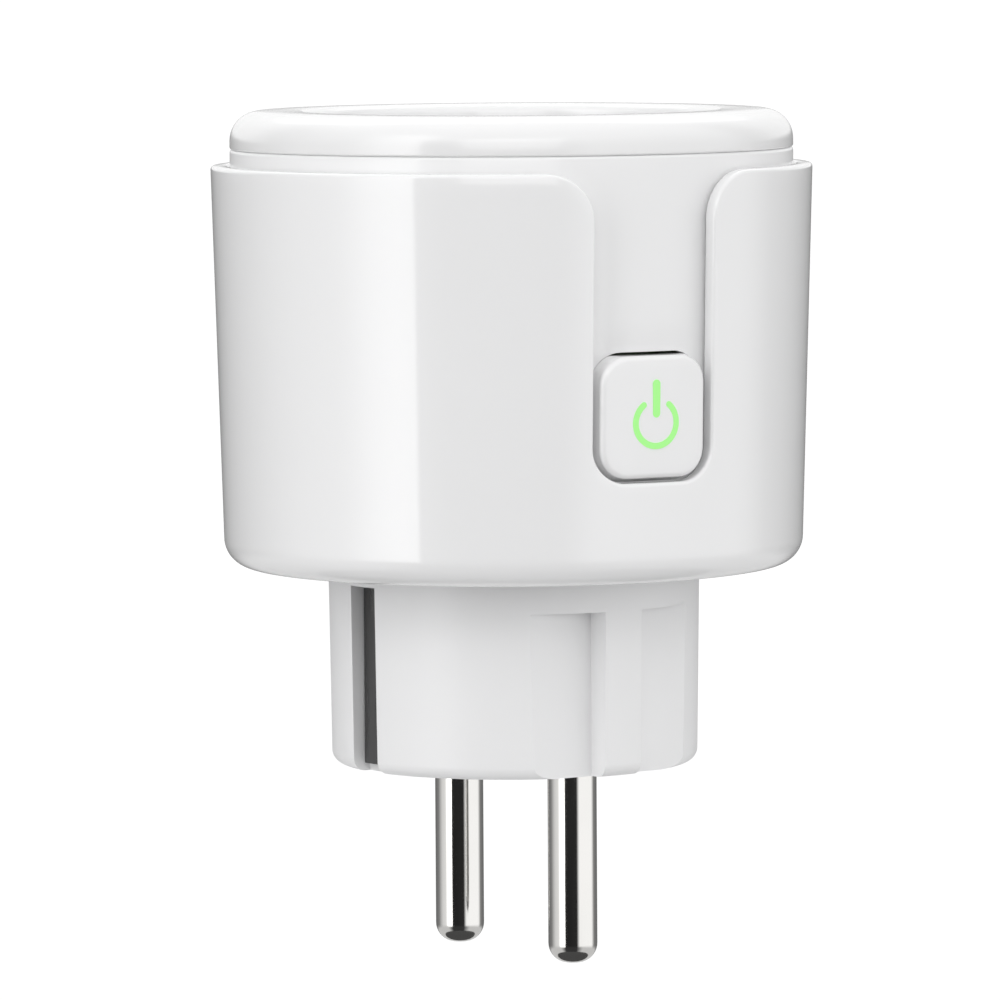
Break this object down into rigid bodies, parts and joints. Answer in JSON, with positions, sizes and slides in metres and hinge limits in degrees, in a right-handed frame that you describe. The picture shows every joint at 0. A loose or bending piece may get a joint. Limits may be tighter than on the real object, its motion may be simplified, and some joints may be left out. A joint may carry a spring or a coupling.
{
  "type": "smart plug",
  "caption": "Round earthed smart plug with a recessed mains socket on top, a round plug with two pins below and a lit power button in a U-shaped slot of its outer sleeve.",
  "frame": {"origin": "centre of the plug face, between the two pins, where the plug part rests on a wall socket's recess floor", "axes": "+Z from the plug face towards the socket face, Y along the line through the two pins, the button towards -Y, X through the two earth contacts"},
  "size_m": [0.059, 0.0588, 0.0831],
  "materials": {
    "sleeve_white": "satin moulded white",
    "housing_white": "satin moulded white",
    "ring_white": "polished white",
    "socket_white": "satin moulded white",
    "plug_white": "satin moulded white",
    "button_white": "satin moulded white",
    "icon_green": "lit green light guide",
    "pin_nickel": "polished nickel plate",
    "earth_nickel": "dull nickel plate",
    "brass": "stamped brass",
    "spring_steel": "bright drawn wire",
    "shutter_grey": "moulded light grey",
    "carrier_ivory": "moulded ivory",
    "contact_bronze": "phosphor bronze",
    "board_green": "solder mask over glass laminate",
    "sheet_amber": "insulating film",
    "screw_steel": "zinc plated",
    "relay_black": "moulded black",
    "relay_blue": "moulded blue",
    "copper": "enamelled copper winding",
    "iron": "plated soft iron",
    "can_sleeve": "shrink sleeve over an aluminium can",
    "film_yellow": "boxed film capacitor",
    "ferrite": "ferrite core",
    "varistor_blue": "dipped epoxy",
    "fuse_tan": "ceramic fuse",
    "chip_black": "moulded epoxy",
    "resistor_metal": "alloy strip",
    "module_blue": "solder mask over glass laminate",
    "shield_steel": "tin plated",
    "switch_black": "moulded black",
    "plunger_white": "moulded",
    "led_green": "clear epoxy"
  },
  "bodies": {
    "housing": {"outer_sleeve": "sleeve_white", "inner_housing": "housing_white", "face_ring": "ring_white", "socket_cup": "socket_white", "plug_base": "plug_white", "live_pin": "pin_nickel", "neutral_pin": "pin_nickel", "earth_strip_left": "earth_nickel", "earth_strip_right": "earth_nickel", "earth_cross_strap": "brass", "earth_tube": "brass", "earth_link": "brass", "earth_bracket": "spring_steel", "shutter_spring": "spring_steel", "contact_carrier": "carrier_ivory", "live_contact": "contact_bronze", "neutral_contact": "contact_bronze", "live_busbar": "brass", "neutral_busbar": "brass", "main_board": "board_green", "insulating_sheet": "sheet_amber", "board_screws": "screw_steel", "carrier_screws": "screw_steel", "relay_base": "relay_black", "relay_case": "relay_blue", "relay_coil": "copper", "relay_yoke": "iron", "bulk_capacitors": "can_sleeve", "filter_capacitor": "film_yellow", "power_inductor": "ferrite", "varistor": "varistor_blue", "fuse": "fuse_tan", "rectifier": "chip_black", "control_chips": "chip_black", "shunt_resistor": "resistor_metal", "wifi_board": "module_blue", "wifi_shield": "shield_steel", "switch_board": "board_green", "tact_switch": "switch_black", "status_lights": "led_green"},
    "button": {"button_cap": "button_white", "button_icon": "icon_green"},
    "switch_plunger": {"switch_plunger": "plunger_white"},
    "shutter": {"shutter_rotor": "shutter_grey"},
    "armature": {"relay_armature": "iron"}
  },
  "joints": [
    {"name": "button_press", "type": "slide", "parent": "housing", "child": "button", "axis": [0.1305, 0.9914, 0], "range_m": [0, 0.0005], "stiffness_N_per_m": 1500, "springref_m": -0.0008},
    {"name": "plunger_press", "type": "slide", "parent": "housing", "child": "switch_plunger", "axis": [0.1305, 0.9914, 0], "range_m": [0, 0.0005]},
    {"name": "shutter_turn", "type": "hinge", "parent": "housing", "child": "shutter", "pos_m": [0, 0, 0.04315], "axis": [0, 0, 1], "range_deg": [0, 38], "stiffness_Nm_per_rad": 0.004, "springref_deg": -17.19, "deforming": ["shutter_spring"]},
    {"name": "armature_pull", "type": "hinge", "parent": "housing", "child": "armature", "pos_m": [0.0155, 0.0076, 0.03748], "axis": [1, 0, 0], "range_deg": [0, 2], "stiffness_Nm_per_rad": 0.02, "springref_deg": -5.73}
  ],
  "couplings": [
    {"joint": "plunger_press", "follows": "button_press", "ratio": 1}
  ]
}
